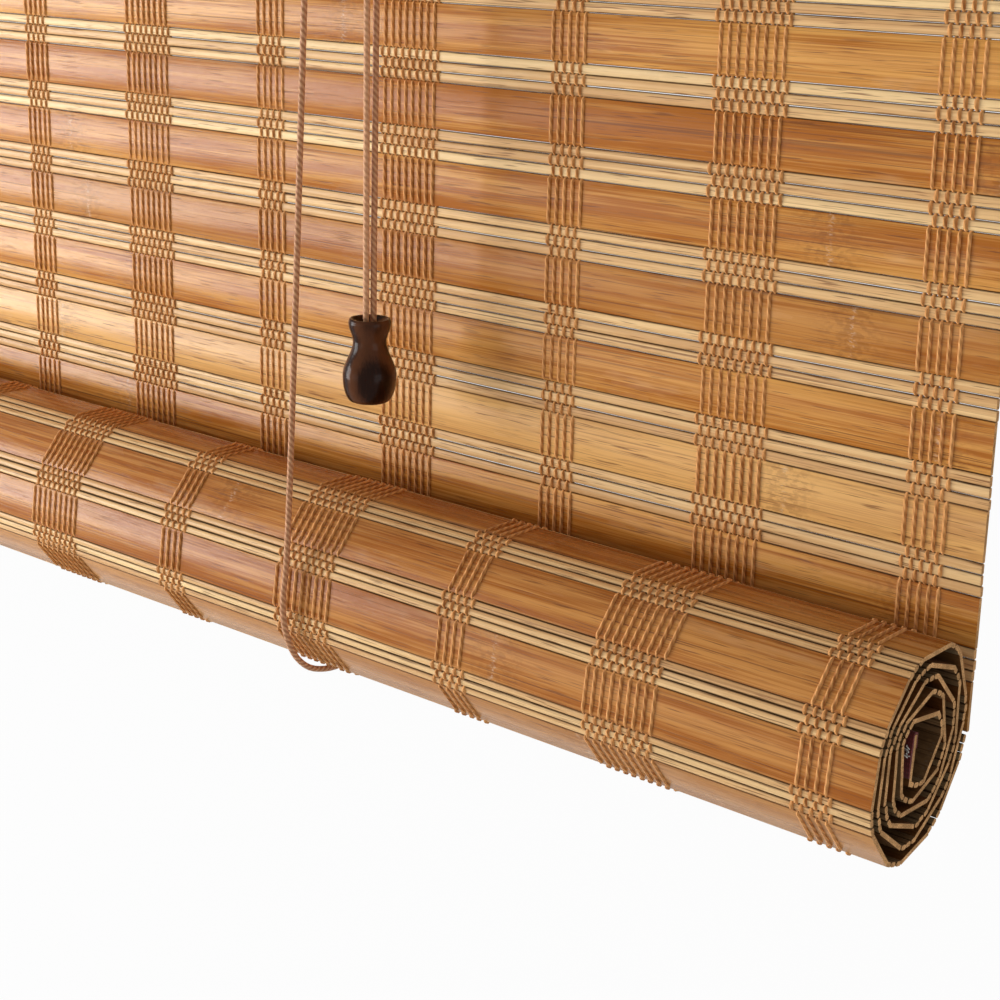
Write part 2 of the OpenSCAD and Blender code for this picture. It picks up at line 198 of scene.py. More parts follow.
# The studio: each lamp's name, place, target, size and power, the world's strength and the floor
LAMPS = (
    ("key_softbox", (-1.15, -0.95, -0.54), (0.1, -0.03, -0.5), 0.8, 26.5),
    ("front_softbox", (-0.5, -1.9, -0.9), (0.05, -0.03, -0.5), 1.2, 6.0),
    ("end_fill", (1.7, -0.3, -0.6), (0.4, -0.05, -0.6), 0.8, 3.5),
)
WORLD_LEVEL = 0.27
WORLD_LEFT = -0.1
WORLD_ABOVE = 0.06
FLOOR_HALF = 6.0
FLOOR_Z = -1.0


# Sizes and colours

def length_prop(name, description, default):
    return FloatProperty(name=name, description=description, default=default, unit="LENGTH", precision=4)


def colour_prop(name, description, default):
    return FloatVectorProperty(name=name, description=description, default=default, subtype="COLOR")


class BlindSizes(bpy.types.PropertyGroup):
    """Sizes of the woven mat and its cords."""

    slat_height: length_prop("Slat height", "Height of one slat", 0.0143)
    slat_thickness: length_prop("Slat thickness", "Thickness of a slat", 0.0013)
    reed_height: length_prop("Reed height", "Height of a reed in the hanging mat", 0.0031)
    rolled_reed_height: length_prop(
        "Rolled reed height", "Height of a reed where the mat is rolled up", 0.00238
    )
    reed_thickness: length_prop("Reed thickness", "Thickness of a reed", 0.0014)
    reed_waver: length_prop("Reed waver", "How far a reed strays from a straight line", 0.00008)
    thread_diameter: length_prop("Thread diameter", "Diameter of a weaving thread", 0.00112)
    thread_spacing: length_prop("Thread spacing", "Distance between two threads of a band", 0.003)
    cord_diameter: length_prop("Cord diameter", "Diameter of a lift cord", 0.002)
    seed: IntProperty(name="Seed", description="Start of the random draws", default=2451)


class BlindColours(bpy.types.PropertyGroup):
    """Colours of the blind's materials."""

    bamboo_pale: colour_prop("Bamboo, pale", "Pale streaks of a slat", (0.73, 0.362, 0.090))
    bamboo_deep: colour_prop("Bamboo, deep", "Deep streaks of a slat", (0.40, 0.126, 0.014))
    bamboo_dark: colour_prop("Bamboo, dark", "Tone of the darkest slats", (0.33, 0.098, 0.011))
    bamboo_fleck: colour_prop("Bamboo, fleck", "Dark fibres of a slat", (0.15, 0.042, 0.009))
    reed: colour_prop("Reed", "Pale streaks of a reed", (0.90, 0.61, 0.29))
    end_grain: colour_prop("End grain", "Sawn ends of slats and reeds", (0.98, 0.55, 0.24))
    thread: colour_prop("Thread", "Ridges of the thread", (0.72, 0.350, 0.110))
    thread_deep: colour_prop("Thread, deep", "Grooves of the thread", (0.40, 0.145, 0.034))
    cord: colour_prop("Cord", "Raised strands of the cords", (0.68, 0.37, 0.19))
    cord_deep: colour_prop("Cord, deep", "Gaps between the cords' strands", (0.40, 0.160, 0.070))
    tassel: colour_prop("Tassel", "Stained wood of the tassel", (0.021, 0.0066, 0.0030))
    tassel_pale: colour_prop("Tassel, pale", "Worn edges and grain of the tassel", (0.17, 0.060, 0.023))
    hem: colour_prop("Hem", "Cloth round the mat's lower edge", (0.17, 0.012, 0.010))
    pine: colour_prop("Pine", "Planed wood of the rear board", (0.68, 0.45, 0.22))
    stain: colour_prop("Stain", "Stained wood of the front batten", (0.46, 0.20, 0.055))
    zinc: colour_prop("Zinc", "Plated steel", (0.50, 0.49, 0.47))
    brass: colour_prop("Brass", "Turned brass of the wheels", (0.66, 0.43, 0.15))
    floor: colour_prop("Floor", "Plain floor under the blind", (0.9, 0.9, 0.9))


def sizes():
    return bpy.context.scene.blind_sizes


def colours():
    return bpy.context.scene.blind_colours


def draws(shift):
    return random.Random(sizes().seed + shift)


def link(name, data):
    """A new object in the scene."""
    obj = bpy.data.objects.new(name, data)
    bpy.context.scene.collection.objects.link(obj)
    return obj


# Meshes

class Heap:
    """Collects laths and tubes and turns them into one mesh."""

    def __init__(self):
        self.points = []
        self.quads = []
        self.quad_uvs = []
        self.caps = []
        self.cap_uvs = []
        self.tints = []
        self.count = 0

    def add(self, rings, quad_uvs, cap_uvs, tint):
        """Adds a closed loft. rings is rings x sides x 3, in metres."""
        n, m = rings.shape[:2]
        start = self.count
        index = np.arange(n * m).reshape(n, m) + start
        after = np.roll(index, -1, axis=1)
        quads = np.stack([index[:-1], after[:-1], after[1:], index[1:]], axis=-1)
        self.points.append(rings.reshape(-1, 3))
        self.quads.append(quads.reshape(-1, 4))
        self.quad_uvs.append(quad_uvs.reshape(-1, 4, 2))
        self.caps += [index[0][::-1].tolist(), index[-1].tolist()]
        self.cap_uvs += [np.asarray(cap_uvs[0])[::-1], np.asarray(cap_uvs[1])]
        tint = np.broadcast_to(np.asarray(tint, float), (n, m, 4))
        self.tints.append(tint.reshape(-1, 4))
        self.count += n * m

    def tube(self, line, axes, radius, sides, tint):
        """Adds a closed tube round a line in millimetres."""
        cap = np.zeros((sides, 2))
        uvs = tube_uvs(len(line), sides, run_lengths(line) * MM)
        self.add(tube_rings(line, axes, radius, sides) * MM, uvs, (cap, cap), tint)

    def build(self, name, *materials):
        """One object with sharp ends. A second material goes on the ends."""
        points = np.concatenate(self.points)
        quads = np.concatenate(self.quads)
        cap_sizes = [len(c) for c in self.caps]
        corners = np.concatenate([quads.ravel(), np.concatenate([np.array(c) for c in self.caps])])
        starts = np.concatenate([
            np.arange(len(quads)) * 4,
            len(quads) * 4 + np.concatenate([[0], np.cumsum(cap_sizes)[:-1]]),
        ])
        mesh = bpy.data.meshes.new(name)
        mesh.vertices.add(len(points))
        mesh.vertices.foreach_set("co", points.ravel())
        mesh.loops.add(len(corners))
        mesh.loops.foreach_set("vertex_index", corners.astype(np.int32))
        mesh.polygons.add(len(starts))
        mesh.polygons.foreach_set("loop_start", starts.astype(np.int32))
        on_end = np.arange(len(starts)) >= len(quads)
        mesh.polygons.foreach_set("use_smooth", ~on_end)
        if len(materials) > 1:
            mesh.polygons.foreach_set("material_index", on_end.astype(np.int32))
        mesh.update(calc_edges=True)
        edge_at = np.empty(len(corners), np.int32)
        mesh.loops.foreach_get("edge_index", edge_at)
        sharp = np.zeros(len(mesh.edges), bool)
        sharp[edge_at[len(quads) * 4:]] = True
        mesh.edges.foreach_set("use_edge_sharp", sharp)
        uv = np.concatenate([np.concatenate(self.quad_uvs).reshape(-1, 2), np.concatenate(self.cap_uvs)])
        return finish_mesh(mesh, uv, np.concatenate(self.tints), *materials)


def finish_mesh(mesh, uvs, tints, *materials):
    """Gives a mesh its coordinates, tints and materials, and puts it in the scene."""
    mesh.uv_layers.new(name="Place").data.foreach_set("uv", uvs.ravel())
    mesh.color_attributes.new("tint", "FLOAT_COLOR", "POINT").data.foreach_set("color", tints.ravel())
    for material in materials:
        mesh.materials.append(material)
    if mesh.validate():
        raise RuntimeError(f"{mesh.name}: the mesh had faulty faces")
    return link(mesh.name, mesh)


def tube_rings(line, sides_at, radius, sides):
    """Rings round a line. sides_at gives each ring's two axes."""
    across, up = sides_at
    turn = np.arange(sides) * math.tau / sides
    radius = np.broadcast_to(np.asarray(radius, float), (len(line),))
    ring = np.cos(turn)[None, :, None] * across[:, None, :] + np.sin(turn)[None, :, None] * up[:, None, :]
    return line[:, None, :] + ring * radius[:, None, None]


def corner_uvs(uv, after):
    """Corner coordinates of a loft's faces, from those of its points and of the next points round."""
    return np.stack([uv[:-1], after[:-1], after[1:], uv[1:]], axis=2)


def tube_uvs(n, sides, lengths):
    """Corner coordinates of a tube: once round, and its length in metres."""
    u = np.broadcast_to(np.arange(sides) / sides, (n, sides))
    v = np.broadcast_to(lengths[:, None], (n, sides))
    return corner_uvs(np.stack([u, v], -1), np.stack([u + 1 / sides, v], -1))


def run_lengths(line):
    """How far each point is along the line."""
    steps = np.linalg.norm(np.diff(line, axis=0), axis=1)
    return np.concatenate([[0.0], np.cumsum(steps)])


def unit(rows):
    return rows / np.linalg.norm(rows, axis=1)[:, None]


def carried_axes(line):
    """Two axes square to a line, carried along it without twist."""
    ahead = unit(np.gradient(line, axis=0))
    across = np.zeros_like(line)
    side = np.array([1.0, 0.0, 0.0])
    if abs(ahead[0] @ side) > 0.9:
        side = np.array([0.0, 1.0, 0.0])
    for i, d in enumerate(ahead):
        side = side - (side @ d) * d
        side /= np.linalg.norm(side)
        across[i] = side
    return across, np.cross(ahead, across)


def between(a, b, start, stop, t):
    """The straight blend that is a at start and b at stop."""
    return (stop - t) / (stop - start) * a + (t - start) / (stop - start) * b


def smooth_line(points, step):
    """A line through the points with even steps, in the unit of the points."""
    p = np.asarray(points, float)
    p = np.concatenate([[2 * p[0] - p[1]], p, [2 * p[-1] - p[-2]]])
    knots = np.concatenate([[0.0], np.cumsum(np.sqrt(np.linalg.norm(np.diff(p, axis=0), axis=1)))])
    fine = []
    for i in range(1, len(p) - 2):
        t0, t1, t2, t3 = knots[i - 1:i + 3]
        count = max(2, int(np.linalg.norm(p[i + 1] - p[i]) / step * 2))
        t = np.linspace(t1, t2, count, endpoint=False)[:, None]
        a1 = between(p[i - 1], p[i], t0, t1, t)
        a2 = between(p[i], p[i + 1], t1, t2, t)
        a3 = between(p[i + 1], p[i + 2], t2, t3, t)
        b1 = between(a1, a2, t0, t2, t)
        b2 = between(a2, a3, t1, t3, t)
        fine.append(between(b1, b2, t1, t2, t))
    fine = np.concatenate([*fine, p[-2:-1]])
    run = run_lengths(fine)
    even = np.linspace(0, run[-1], max(2, int(run[-1] / step) + 1))
    return np.stack([np.interp(even, run, fine[:, k]) for k in range(3)], axis=1)


def place(obj, slot, *nodes):
    """Puts a piece on the blind's body and hides the nodes that it stands for. slot, its finish, is not used.
    """
    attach(obj, BODY)
    if nodes:
        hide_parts(*nodes)
    return obj


# The mat's path

def roll_point(t):
    """A point of the mat's middle in the roll, in Y and Z, by its turn in degrees."""
    lean = math.radians(ROLL_LEAN)
    turns = (start_turn() - t) / 360
    whole = math.floor(turns)
    shrink = TURN_P * (whole + (turns - whole) ** 2)
    a = ROLL_A - LONG_SHRINK * shrink
    b = ROLL_B - shrink
    reach = math.hypot(ROLL_A * math.sin(lean), ROLL_B * math.cos(lean))
    meet = PANEL_END - MEET_GAP + ROLL_RISE
    w = math.radians(t)
    return np.array([
        MAT_Y - reach - a * math.sin(lean) * math.cos(w) + b * math.cos(lean) * math.sin(w),
        meet - a * math.cos(lean) * math.cos(w) - b * math.sin(lean) * math.sin(w),
    ])


def start_turn():
    """The turn in degrees at which the roll meets the hanging mat."""
    lean = math.radians(ROLL_LEAN)
    drop = math.hypot(ROLL_A * math.cos(lean), ROLL_B * math.sin(lean))
    low = math.atan2(ROLL_B * math.sin(lean), ROLL_A * math.cos(lean))
    return math.degrees(low + math.acos(ROLL_RISE / drop))


def roll_speed(t):
    """Millimetres a degree."""
    return np.linalg.norm(roll_point(t + 0.5) - roll_point(t - 0.5))


class MatPiece:
    """One slat or reed: its middle, its direction along the mat and its outward side in Y and Z."""

    def __init__(self, kind, row, middle, ahead, half):
        self.kind = kind
        self.row = row
        self.middle = np.asarray(middle, float)
        self.ahead = np.asarray(ahead, float)
        self.out = np.array([-self.ahead[1], self.ahead[0]])
        self.half = half

    def at(self, along, out):
        return self.middle + along * self.ahead + out * self.out


def hanging_pieces():
    """The slats and reeds of the hanging part, from the top down."""
    s = sizes()
    slat_half = s.slat_height / MM / 2
    reed_half = s.reed_height / MM / 2
    found = []
    for k in range(FLAT_COURSES + 1):
        top = MAT_TOP - k * COURSE
        found.append(MatPiece("slat", k, (MAT_Y, top - SLAT_P / 2), (0, -1), slat_half))
        if k < FLAT_COURSES:
            for j in range(REEDS):
                z = top - SLAT_P - (j + 0.5) * REED_P
                found.append(MatPiece("reed", k, (MAT_Y, z), (0, -1), reed_half))
    return found


def rolled_pieces():
    """The slats and reeds of the roll, from the outside in. The last slat leans by the hem's angle."""
    s = sizes()
    found = []
    t = start_turn()
    for i in range(ROLL_COURSES * (REEDS + 1)):
        is_slat = i % (REEDS + 1) == REEDS
        length = SLAT_P if is_slat else ROLL_REED_P
        guess = t - length / roll_speed(t - 1) / 2
        after = t - length / roll_speed(guess)
        here, there = roll_point(t), roll_point(after)
        chord = there - here
        half = (s.slat_height if is_slat else s.rolled_reed_height) / MM / 2
        found.append(MatPiece(
            "slat" if is_slat else "reed", i // (REEDS + 1),
            (here + there) / 2, chord / np.linalg.norm(chord), half,
        ))
        t = after
    lean = math.radians(HEM_LEAN)
    last = found[-1]
    ahead = math.cos(lean) * last.ahead - math.sin(lean) * last.out
    found[-1] = MatPiece(last.kind, last.row, here + np.linalg.norm(chord) / 2 * ahead, ahead, last.half)
    return found


def lath_section(half_h, half_t, bevel, low):
    """Outline of a lath. low is where its flanks stand furthest out, as a share of the thickness."""
    h, t, c = half_h, half_t, bevel
    k = 0.3 * c
    mid = 0.5 * (1 + low) * t
    return np.array([
        (-h + c, -t), (h - c, -t), (h - k, -mid), (h, -low * t), (h, low * t), (h - k, mid),
        (h - c, t), (-h + c, t), (-h + k, mid), (-h, low * t), (-h, -low * t), (-h + k, -mid),
    ])


def flank_shades(deep):
    """How light each point of the outline is painted: full on the faces, painted shade on the flanks in the
    slits.
    """
    half = 0.25 + 0.75 * deep
    return np.array([1, 1, half, deep, deep, half, 1, 1, half, deep, deep, half], float)


def wave(rng, x, reach, long_wave):
    """A slow random wave along the slats."""
    total = np.zeros_like(x)
    for share, part in ((0.6, 1.0), (0.3, 0.45), (0.15, 0.2)):
        length = long_wave * part * rng.uniform(0.8, 1.25)
        total += share * np.sin(math.tau * x / length + rng.uniform(0, math.tau))
    return reach * total


def add_lath(heap, piece, section, shades, rng, stray, rise):
    """Adds one slat or reed, a little uneven along its length."""
    left = -MAT_W / 2 + rng.uniform(-END_STRAY, END_STRAY)
    right = MAT_W / 2 + rng.uniform(-END_STRAY, END_STRAY)
    x = np.linspace(left, right, LATH_STATIONS)
    along = section[None, :, 0] + wave(rng, x, stray, STRAY_WAVE)[:, None]
    out = section[None, :, 1] + wave(rng, x, rise, RISE_WAVE)[:, None]
    rings = np.empty((*along.shape, 3))
    rings[..., 0] = x[:, None]
    rings[..., 1] = piece.middle[0] + along * piece.ahead[0] + out * piece.out[0]
    rings[..., 2] = piece.middle[1] + along * piece.ahead[1] + out * piece.out[1]
    grain = rng.uniform(0, 5)
    u = np.broadcast_to(x[:, None], along.shape) * MM
    v = np.broadcast_to(section[None, :, 0], along.shape) * MM + grain
    uv = np.stack([u, v], axis=-1)
    quad_uvs = corner_uvs(uv, np.roll(uv, -1, axis=1))
    ends = np.stack([section[:, 0] * MM + grain, section[:, 1] * MM], axis=1)
    tint = np.tile([rng.random(), rng.random(), rng.random(), 1.0], (len(section), 1))
    # the alpha carries the painted shade of the outline
    tint[:, 3] = shades
    heap.add(rings * MM, quad_uvs, (ends, ends), tint)


def add_laths(slats, reeds, pieces, rng, stray, rise, inside_from=None):
    """Adds slats and reeds. In a roll, shade is painted on the inner faces and on the rows from inside_from
    on.
    """
    s = sizes()
    for p in pieces:
        if p.kind == "slat":
            heap, thick, form = slats, s.slat_thickness, SLAT_FORM
        else:
            heap, thick, form = reeds, s.reed_thickness, REED_FORM
        bevel, low, deep, share = form
        section = lath_section(p.half, thick / MM / 2, bevel, low)
        # painted shade on the flanks, where the slits between laths lie
        shades = flank_shades(deep)
        if inside_from is not None:
            # painted shade inside the roll
            hidden = (section[:, 1] < 0) | (p.row >= inside_from)
            shades = np.where(hidden, INNER_SHADE * shades, shades)
        add_lath(heap, p, section, shades, rng, share * stray, rise)


# Thread bands

def band_middle(band):
    return (band - (BANDS - 1) / 2) * BAND_P


def thread_line(pieces, side, radius):
    """The line of a thread in Y and Z: it changes sides at every slat and reed."""
    s = sizes()
    points = []
    for i, p in enumerate(pieces):
        face = side if i % 2 == 0 else -side
        if p.kind == "slat":
            thick, lift, reach = s.slat_thickness, SLAT_LIFT, p.half - SLAT_DIP
        else:
            thick, lift, reach = s.reed_thickness, REED_LIFT, 0.5 * p.half
        out = face * (thick / MM / 2 + lift * radius)
        points += [p.at(-reach, out), p.at(reach, out)]
        if i + 1 < len(pieces):
            points.append((p.at(p.half, 0) + pieces[i + 1].at(-pieces[i + 1].half, 0)) / 2)
    return np.array(points)


def add_thread(heap, line, x, rng, radius):
    """Adds one thread at x, which drifts a little to both sides."""
    n = len(line)
    shifts = [rng.uniform(-THREAD_DRIFT, THREAD_DRIFT) for _ in range(DRIFT_STEPS)]
    drift = np.interp(np.arange(n), np.linspace(0, n - 1, DRIFT_STEPS), shifts)
    ahead = unit(np.gradient(line, axis=0))
    across = np.tile([1.0, 0.0, 0.0], (n, 1))
    inward = np.column_stack([np.zeros(n), ahead[:, 1], -ahead[:, 0]])
    tint = (rng.random(), rng.random(), rng.random(), 1.0)
    heap.tube(np.column_stack([x + drift, line]), (across, inward), radius, THREAD_SIDES, tint)


# Shader building

class Shade:
    """Adds nodes to one node tree."""

    def __init__(self, tree):
        self.tree = tree

    def node(self, kind, inputs=None, **settings):
        made = self.tree.nodes.new(kind)
        for key, value in settings.items():
            setattr(made, key, value)
        self.dress(made.inputs, inputs or {})
        return made

    def dress(self, sockets, values):
        for key, value in values.items():
            self.feed(sockets[key], value)

    def feed(self, socket, value):
        """Links a socket to another one, or sets it to a constant."""
        if isinstance(value, bpy.types.NodeSocket):
            self.tree.links.new(value, socket)
        else:
            socket.default_value = value

    def math(self, operation, a, b=0.0, clamp=False):
        made = self.node("ShaderNodeMath", {0: a, 1: b}, operation=operation, use_clamp=clamp)
        return made.outputs[0]

    def plus(self, a, b, clamp=False):
        return self.math("ADD", a, b, clamp)

    def minus(self, a, b):
        return self.math("SUBTRACT", a, b)

    def times(self, a, b):
        return self.math("MULTIPLY", a, b)

    def blend(self, *parts):
        """The sum of values, each times its share."""
        total = self.times(*parts[0])
        for part in parts[1:]:
            total = self.plus(total, self.times(*part))
        return total

    def swing(self, phase):
        """A sine between nought and one."""
        return self.plus(self.times(self.math("SINE", phase), 0.5), 0.5)

    def mix(self, share, a, b):
        made = self.node("ShaderNodeMix", data_type="RGBA")
        self.dress(made.inputs, {0: share, 6: a, 7: b})
        return made.outputs[2]

    def span(self, value, low, high, to_low=0.0, to_high=1.0):
        """Stretches low to high, with soft ends."""
        made = self.node(
            "ShaderNodeMapRange",
            {"Value": value, "From Min": low, "From Max": high, "To Min": to_low, "To Max": to_high},
            interpolation_type="SMOOTHSTEP",
        )
        return made.outputs["Result"]

    def noise(self, place_at, scale, detail=3.0, rough=0.55):
        made = self.node(
            "ShaderNodeTexNoise", {"Vector": place_at, "Scale": scale, "Detail": detail, "Roughness": rough}
        )
        return made.outputs["Fac"]

    def stretch(self, place_at, scale):
        return self.node("ShaderNodeMapping", {"Vector": place_at, "Scale": scale}).outputs["Vector"]

    def sized(self, place_at, size):
        made = self.node("ShaderNodeVectorMath", {0: place_at, 1: size}, operation="MULTIPLY")
        return made.outputs[0]

    def streaks(self, place_at, scale, detail, rough=0.55):
        """Noise with its own scale along each axis."""
        return self.noise(self.stretch(place_at, scale), 1.0, detail, rough)

    def parts(self, place_at):
        return self.node("ShaderNodeSeparateXYZ", {"Vector": place_at}).outputs

    def bump(self, height, strength, distance):
        made = self.node("ShaderNodeBump", {"Height": height, "Strength": strength, "Distance": distance})
        return made.outputs["Normal"]


def opaque(colour, by=1.0):
    """A colour for a socket, made darker or lighter by a factor."""
    return (*(by * x for x in colour), 1.0)


def new_group(name, inputs, outputs):
    """An empty shader node group with named sockets. Place is a vector, the others are values."""
    tree = bpy.data.node_groups.new(name, "ShaderNodeTree")
    for in_out, labels in (("INPUT", inputs), ("OUTPUT", outputs)):
        for label in labels:
            kind = "NodeSocketVector" if label == "Place" else "NodeSocketFloat"
            tree.interface.new_socket(label, in_out=in_out, socket_type=kind)
    shade = Shade(tree)
    return shade, shade.node("NodeGroupInput").outputs, shade.node("NodeGroupOutput").inputs


def bamboo_group():
    """Fibres, streaks, joints and pale patches of a bamboo lath, partly worn and partly a painted sheen."""
    shade, given, put = new_group(
        "Bamboo fibre", ("Place", "Seed", "Joint"), ("Streak", "Fleck", "Joint", "Bloom", "Wash_and_sheen", "Height")
    )
    apart = shade.parts(given["Place"])
    seeded = shade.node(
        "ShaderNodeCombineXYZ", {"X": apart["X"], "Y": apart["Y"], "Z": shade.times(given["Seed"], 7.0)}
    ).outputs["Vector"]
    broad = shade.streaks(seeded, (7.0, 420.0, 1.0), 3.0)
    fine = shade.streaks(seeded, (22.0, 2600.0, 1.0), 2.0)
    long_fibre = shade.streaks(seeded, (5.0, 1500.0, 2.0), 1.0)
    middling = shade.streaks(seeded, (16.0, 1300.0, 1.0), 2.0)
    cloud = shade.streaks(seeded, (11.0, 60.0, 3.0), 3.0)
    pores = shade.streaks(seeded, (70.0, 2100.0, 3.0), 1.0)
    # pale patches: partly wear, partly a painted sheen
    patch = shade.streaks(seeded, (16.0, 90.0, 5.0), 4.0, 0.65)
    fibres = shade.blend((broad, 0.4), (fine, 0.25), (middling, 0.35))
    flecks = shade.math("MAXIMUM", shade.span(pores, 0.59, 0.74), shade.span(long_fibre, 0.6, 0.78))
    spot = shade.math("FRACT", shade.plus(shade.math("DIVIDE", apart["X"], JOINT_P), given["Joint"]))
    away = shade.times(shade.math("ABSOLUTE", shade.minus(spot, 0.5)), JOINT_P)
    crook = shade.times(shade.streaks(seeded, (90.0, 500.0, 1.0), 2.0), 0.012)
    near = shade.span(shade.plus(away, crook), 0.007, 0.022, 1.0, 0.0)
    mottle = shade.span(shade.streaks(seeded, (420.0, 700.0, 1.0), 2.0), 0.42, 0.6)
    line = shade.span(shade.plus(away, shade.times(crook, 0.4)), 0.0016, 0.004, 1.0, 0.0)
    speck = shade.span(shade.streaks(seeded, (700.0, 1700.0, 1.0), 3.0), 0.46, 0.7)
    shade.dress(put, {
        "Streak": shade.span(shade.blend((fibres, 0.72), (cloud, 0.28)), 0.39, 0.61),
        "Fleck": flecks,
        "Joint": shade.times(near, mottle),
        "Bloom": shade.times(line, speck),
        "Wash_and_sheen": shade.span(patch, 0.56, 0.78),
        "Height": shade.minus(shade.blend((fine, 0.5), (near, 0.5)), shade.times(flecks, 0.4)),
    })
    return shade.tree


def strand_group():
    """Twisted strands round a thread or cord."""
    shade, given, put = new_group("Twisted strands", ("Place", "Strands", "Pitch"), ("Ridge", "Fuzz"))
    apart = shade.parts(given["Place"])
    turns = shade.times(apart["X"], given["Strands"])
    phase = shade.plus(turns, shade.math("DIVIDE", apart["Y"], given["Pitch"]))
    shade.dress(put, {
        "Ridge": shade.swing(shade.times(phase, math.tau)),
        "Fuzz": shade.streaks(given["Place"], (9.0, 2600.0, 1.0), 2.0),
    })
    return shade.tree


def timber_group():
    """Year rings and pores of sawn or turned wood. Place runs along the grain in X."""
    shade, given, put = new_group("Timber grain", ("Place", "Rings", "Pores"), ("Grain", "Pore", "Height"))
    bent = shade.streaks(given["Place"], (3.0, 14.0, 14.0), 3.0)
    apart = shade.parts(given["Place"])
    depth = shade.plus(shade.times(apart["Y"], 0.6), apart["Z"])
    rings = shade.swing(shade.plus(shade.times(depth, given["Rings"]), shade.times(bent, 9.0)))
    along = shade.sized(shade.stretch(given["Place"], (0.03, 1.0, 1.0)), given["Pores"])
    pores = shade.noise(along, 1.0, 3.0)
    grain = shade.blend((rings, 0.55), (pores, 0.45))
    shade.dress(put, {
        "Grain": shade.span(grain, 0.2, 0.8),
        "Pore": shade.span(pores, 0.58, 0.78),
        "Height": shade.minus(shade.times(grain, 0.5), pores),
    })
    return shade.tree


def metal_group():
    """Fine marks and dull patches of handled metal."""
    shade, given, put = new_group("Metal wear", ("Place", "Size"), ("Dull", "Marks"))
    sized = shade.sized(given["Place"], given["Size"])
    shade.dress(put, {
        "Dull": shade.span(shade.noise(sized, 60.0, 4.0), 0.35, 0.7),
        "Marks": shade.span(shade.streaks(sized, (40.0, 900.0, 900.0), 2.0), 0.45, 0.7),
    })
    return shade.tree


def group_in(shade, name, maker, inputs):
    """The outputs of a group, which is made at its first use."""
    tree = bpy.data.node_groups.get(name) or maker()
    return shade.node("ShaderNodeGroup", inputs, node_tree=tree).outputs


def start_material(name):
    """A material with an empty tree, and the shader that ends it."""
    made = bpy.data.materials.new(name)
    made.use_nodes = True
    made.node_tree.nodes.clear()
    shade = Shade(made.node_tree)
    surface = shade.node("ShaderNodeBsdfPrincipled")
    shade.node("ShaderNodeOutputMaterial", {"Surface": surface.outputs["BSDF"]})
    return made, shade, surface.inputs


def uv_place(shade):
    return shade.node("ShaderNodeUVMap", uv_map="Place").outputs["UV"]


def object_place(shade):
    return shade.node("ShaderNodeTexCoord").outputs["Object"]


def tint_of(shade):
    colour = shade.node("ShaderNodeVertexColor", layer_name="tint").outputs["Color"]
    return shade.node("ShaderNodeSeparateColor", {"Color": colour}).outputs


def flank_of(shade):
    # the tint's alpha: one on open faces, lower where shade is painted
    return shade.node("ShaderNodeVertexColor", layer_name="tint").outputs["Alpha"]


def bamboo_material(name, pale, deep, dark, look):
    """Bamboo in three tones. look is its least roughness and how strongly its joints show."""
    found = bpy.data.materials.get(name)
    if found:
        return found
    gloss, joints = look
    fleck = colours().bamboo_fleck
    made, shade, surface = start_material(name)
    tint = tint_of(shade)
    fibre = group_in(
        shade, "Bamboo fibre", bamboo_group,
        {"Place": uv_place(shade), "Seed": tint["Green"], "Joint": tint["Blue"]},
    )
    lean = shade.plus(fibre["Streak"], shade.times(shade.minus(tint["Red"], 0.6), 0.9), clamp=True)
    colour = shade.mix(lean, opaque(deep), opaque(pale))
    creamy = shade.span(tint["Red"], 0.5, 1.0, 0.0, 0.5)
    colour = shade.mix(creamy, colour, opaque([0.5 * x + y for x, y in zip(pale, CREAM)]))
    other = shade.math("FRACT", shade.times(tint["Green"], 7.3))
    colour = shade.mix(shade.span(other, 0.55, 1.0, 0.0, 0.5), colour, opaque(dark))
    # the pale patches are partly wear and partly a painted sheen
    for mark, share, tone in (
        ("Fleck", 0.7, opaque(fleck)),
        ("Joint", 0.35 * joints, opaque(fleck)),
        ("Bloom", 0.6 * joints, BLOOM),
        ("Wash_and_sheen", 0.22, shade.mix(0.5, opaque(pale), WASHED_AND_SHEEN)),
    ):
        colour = shade.mix(shade.times(fibre[mark], share), colour, tone)
    # painted shade: darker and rougher where the tint's alpha is low, in the slits and inside the roll
    painted_shade = shade.minus(1.0, flank_of(shade))
    rough = shade.span(fibre["Wash_and_sheen"], 0.0, 1.0, gloss, gloss + 0.16)
    rough = shade.plus(rough, shade.times(fibre["Fleck"], 0.1))
    shade.dress(surface, {
        "Base Color": shade.mix(painted_shade, colour, opaque(fleck, 0.25)),
        "Roughness": shade.plus(rough, shade.times(painted_shade, 0.7), clamp=True),
        "Specular IOR Level": 0.15,
        "Normal": shade.bump(fibre["Height"], 0.35, 0.00025),
    })
    return made


def slat_material(name, tone=(1.0, 1.0, 1.0)):
    """The rolled slats get a darker, redder tone: painted shade on the roll."""
    c = colours()
    pale, deep = ([a * b for a, b in zip(part, tone)] for part in (c.bamboo_pale, c.bamboo_deep))
    return bamboo_material(name, pale, deep, c.bamboo_dark, SLAT_LOOK)


def reed_material():
    c = colours()
    deep = [0.5 * (a + b) for a, b in zip(c.reed, c.bamboo_deep)]
    return bamboo_material("reed_bamboo", c.reed, deep, deep, REED_LOOK)


def end_material():
    found = bpy.data.materials.get("bamboo_end_grain")
    if found:
        return found
    c = colours()
    made, shade, surface = start_material("bamboo_end_grain")
    at = object_place(shade)
    dots = shade.span(shade.noise(at, 3600.0, 2.0), 0.45, 0.62)
    patch = shade.span(shade.noise(at, 260.0, 3.0), 0.35, 0.7)
    colour = shade.mix(patch, opaque(c.end_grain, 0.62), opaque(c.end_grain))
    shade.dress(surface, {
        "Base Color": shade.mix(shade.times(dots, 0.5), colour, opaque(c.bamboo_fleck)),
        "Roughness": 0.9,
        "Specular IOR Level": 0.05,
        "Normal": shade.bump(dots, 0.5, 0.0002),
    })
    return made


